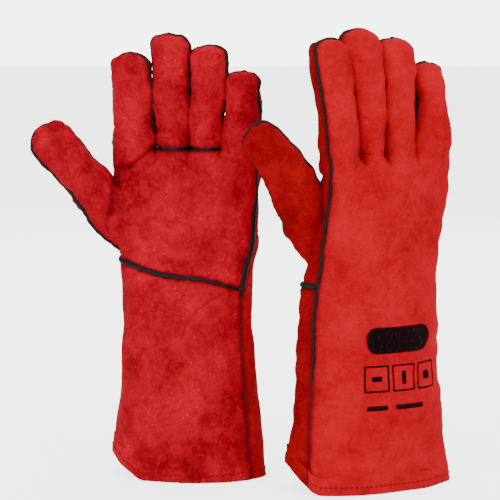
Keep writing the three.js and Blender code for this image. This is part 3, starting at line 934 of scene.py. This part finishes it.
def hemStitches(glove, back, cuff):
    # Each stitch is a little spindle half sunk in the leather: a circle carried along a short parabola, its
    # radius the root of one minus a fourth power.
    tubes = []
    for grid in (back, cuff):
        row = np.argmax(grid[..., 2] - grid[:1, :, 2] > stitch["above"], axis=0)
        columns = np.arange(grid.shape[1])
        path, outward = evenly(grid[row, columns], normalsOf(grid)[row, columns], 0.6)
        step = np.linalg.norm(np.diff(path, axis=0), axis=1).mean()
        count = int((len(path) - 1) * step // stitch["pitch"])
        starts = (np.arange(count)[:, None] + stitch["first"]) * stitch["pitch"]
        share = np.linspace(0, 1, stitch["rings"])
        places = (starts + stitch["length"] * share) / step
        at = between(places, np.arange(len(path)), path)
        out = unit(between(places, np.arange(len(path)), outward))
        across = np.cross(unit(np.gradient(at, axis=1)), out)
        bulge = np.sqrt(np.clip(1 - (2 * share - 1) ** 4, 0, 1))[:, None, None]
        angle = np.linspace(0, 2 * math.pi, stitch["sides"], endpoint=False)[:, None]
        ring = np.cos(angle) * out[:, :, None] + np.sin(angle) * across[:, :, None]
        sag = (stitch["out"] - stitch["sink"] * (2 * share - 1) ** 2)[:, None]
        tubes.append((at + out * sag)[:, :, None] + stitch["radius"] * bulge * ring)
    tubes = np.concatenate(tubes)
    piece = sewn(glove["name"] + "HemStitches", tubes, glove, threadRed, wrap=True, turned=True)
    onHand(piece, glove, "hem_stitching")


lining = {
    "canvas": 2.8, "fleece": 6.0, "digit": 5.6, "thumb": 7.0,  # how far each lies inside the leather's face
    "aboveHem": 6,
    "belowWrist": 4,  # how far the fleece of the hand runs down over the canvas
    "root": 11.0,  # how far a finger's fleece runs down into the hand
    "overlap": 2,  # and how far up past its end the hand's runs
}


def linings(glove, rows, per):
    # The whole loop of the hand's section, taken in from the leather and turned to face the wearer.
    hem, wrist = hemHeight(glove), glove["wrist"]
    top = level(hand["crease"] - lining["root"] + lining["overlap"])

    def aboveHem(x, y):
        return hem(x, y) + lining["aboveHem"]

    for label, low, high, material, slot, replaced in (
        ("CuffCanvas", aboveHem, level(wrist), canvas, "canvas", "cuff_lining"),
        ("HandFleece", level(wrist - lining["belowWrist"]), top, fleece, "fleece", "hand_lining"),
    ):
        halves = [handGrid(panel, low, high, rows, per)[:, :-1] for panel in ("back", "front")]
        loop = np.concatenate(halves, 1)
        loop = workIn(loop, np.full(loop.shape[:2], noSeam), glove["seed"], lining[slot])
        piece = sewn(glove["name"] + label, loop, glove, material, wrap=True, turned=True)
        onHand(piece, glove, replaced)


def overTip(grid):
    # Up one edge of a digit's back, over its tip and down the other edge, and the way out from its middle.
    outward = grid - grid.mean(1, keepdims=True)
    path = np.concatenate([grid[:, 0], grid[::-1, -1][1:]])
    away = np.concatenate([outward[:, 0], outward[::-1, -1][1:]])
    return path, away / np.maximum(np.linalg.norm(away, axis=1), 0.5)[:, None]


def digitLeather(glove, digit, panel, grid, seams, ends, dark=0, paintedFoldShade=folding["shade"]):
    # Folds go into the front only, and the top row is drawn together to close the tip. The colour gets
    # painted shade beside the seams, in the folds and in the creases given as dark.
    folded = 0
    if panel == "front":
        grid, folded = foldIn(grid, seams, glove["seed"])
    grid[-1] = grid[-1].mean(0)
    shade = np.maximum(paintedShade(seams), np.maximum(dark, paintedFoldShade * folded))
    plain = deepRed if digit == "thumb" else backRed
    label = glove["name"] + digit.capitalize() + panel.capitalize() + "Leather"
    piece = sewn(label, grid, glove, fronts[glove["name"]] if panel == "front" else plain, shade)
    bent(piece, glove, digit, panel, ends)
    return grid


def digitWelt(glove, digit, path, away, radius, ends):
    path, away = evenly(path, away, step=0.9)
    piece = welted(glove["name"] + digit.capitalize() + "Welt", path, away, glove, radius)
    bent(piece, glove, digit, "welt", ends)


def digitFleece(glove, digit, halves, ends):
    tube = np.concatenate([half[:, :-1] for half in halves], 1)
    piece = sewn(glove["name"] + digit.capitalize() + "Fleece", tube, glove, fleece, wrap=True)
    bent(piece, glove, digit, "lining", ends)


def makeFinger(glove, finger):
    digit, middle = finger["name"], finger["middle"]
    ends = [(middle, 0, hand["crease"]), (middle, 0, hand["crease"] + fingerShape["bendOver"])]
    panels = {}
    for panel in ("back", "front"):
        grid = fingerGrid(glove, finger, panel, *gridSize["finger"])
        seams = edgeDistance(grid, bottom=panel == "front" and digit in ("middle", "ring"))
        reach = fingerShape["tipCalmLength"]
        calm = 1 - fingerShape["tipCalm"] * ease((grid[..., 2] - grid[-1, 0, 2] + reach) / reach)
        grid = workIn(grid, seams, glove["seed"], calm=calm)
        panels[panel] = digitLeather(glove, digit, panel, grid, seams, ends)
    path, away = overTip(panels["back"])
    intoTip = path[:, 2] - panels["back"][-1, 0, 2] + welt["tipLength"]
    away[:, 2] += welt["tipLift"] * ease(intoTip / welt["tipLength"])
    digitWelt(glove, digit, path, away, welt["finger"], ends)
    inner = (*gridSize["fingerFleece"], lining["digit"], lining["root"])
    halves = [fingerGrid(glove, finger, panel, *inner) for panel in ("back", "front")]
    digitFleece(glove, digit, halves, ends)


def makeThumb(glove):
    _, y, z = thumb["joint"]
    ends = [(thumb["bendFrom"], y, z), (thumb["bendTo"], y, z)]
    panels = {}
    for panel in ("back", "front"):
        grid = thumbGrid(glove, panel, *gridSize["thumb"])
        seams = edgeDistance(grid)
        grid = workIn(grid, seams, glove["seed"])
        creased = np.zeros(grid.shape[:2])
        for crease in thumb["creases"]:
            off = grid[..., 0] - crease["x"] - crease["slope"] * (grid[..., 2] - crease["z"])
            creased += crease["share"] * bell(off, 0, crease["wide"])
        grid = grid - normalsOf(grid) * (thumb["creaseDepth"] * creased)[..., None]
        # Painted shade in the creases.
        dark = thumb["paintedCreaseShade"] * creased
        panels[panel] = digitLeather(glove, "thumb", panel, grid, seams, ends, dark, thumb["paintedFoldShade"])
    path, away = overTip(panels["back"])
    near = ease(1 - np.linalg.norm(path - panels["back"][-1, 0], axis=1) / welt["tipLength"])
    away = away + welt["tipLift"] * near[:, None] * thumbAhead(glove)
    digitWelt(glove, "thumb", path, away, welt["thumb"], ends)
    inner = (*gridSize["thumbFleece"], lining["thumb"])
    digitFleece(glove, "thumb", [thumbGrid(glove, panel, *inner) for panel in ("back", "front")], ends)


for name, glove in gloves.items():
    glove["name"] = name
    makeHand(glove)
    for finger in fingers:
        makeFinger(glove, finger)
    makeThumb(glove)
    print(name, "glove made")

studio = {
    "aim": (0.0111, 0.0, 0.186), "elevation": 7.0, "distance": 2.2, "lens": 198.0,
    "floor": (0.95, 0.95, 0.95, 1), "floorSize": 12, "floorDrop": 0.0004,
    "floorGlow": 2.6,  # seen by the camera only
    "skyLight": 1.1,
    "backdrop": 5.5,  # how bright the empty background itself looks
    # Name, place, size in metres and power in watts.
    "lights": [
        ("key", (-0.9, -1.5, 1.5), 1.3, 24),
        ("fill", (1.3, -1.2, 0.9), 1.5, 13),
        ("top", (0.1, 0.2, 1.9), 1.4, 14),
        ("behind", (0.3, 1.5, 1.0), 1.4, 14),
    ],
}


def aimed(thing, place):
    thing.location = place
    thing.rotation_euler = (Vector(studio["aim"]) - thing.location).to_track_quat("-Z", "Y").to_euler()
    bpy.context.scene.collection.objects.link(thing)


def makeStudio():
    bpy.ops.mesh.primitive_plane_add(size=studio["floorSize"], location=(0, 0, -studio["floorDrop"]))
    floor = bpy.context.object
    floor.name = "studioFloor"
    made, tree, shader = newMaterial("paleFloor")
    seen = node(tree, "LightPath").outputs["Is Camera Ray"]
    glow = maths(tree, "MULTIPLY", seen, studio["floorGlow"])
    wire(tree, shader, {"Base Color": studio["floor"], "Roughness": 0.9})
    wire(tree, shader, {"Emission Color": (1, 1, 1, 1), "Emission Strength": glow})
    floor.data.materials.append(made)
    up = math.radians(studio["elevation"])
    camera = bpy.data.objects.new("studioCamera", bpy.data.cameras.new("studioCamera"))
    camera.data.lens = studio["lens"]
    aimed(camera, Vector(studio["aim"]) + studio["distance"] * Vector((0, -math.cos(up), math.sin(up))))
    bpy.context.scene.camera = camera
    for label, place, size, power in studio["lights"]:
        light = bpy.data.objects.new(label + "Light", bpy.data.lights.new(label + "Light", "AREA"))
        light.data.size = size
        light.data.energy = power
        aimed(light, place)
    world = bpy.data.worlds.new("studioWorld")
    world.use_nodes = True
    tree = world.node_tree
    seen = node(tree, "LightPath").outputs["Is Camera Ray"]
    strength = ranged(tree, seen, 0.0, 1.0, studio["skyLight"], studio["backdrop"])
    wire(tree, tree.nodes["Background"], {0: (1, 1, 1, 1), 1: strength})
    bpy.context.scene.world = world


makeStudio()
print("studio made")
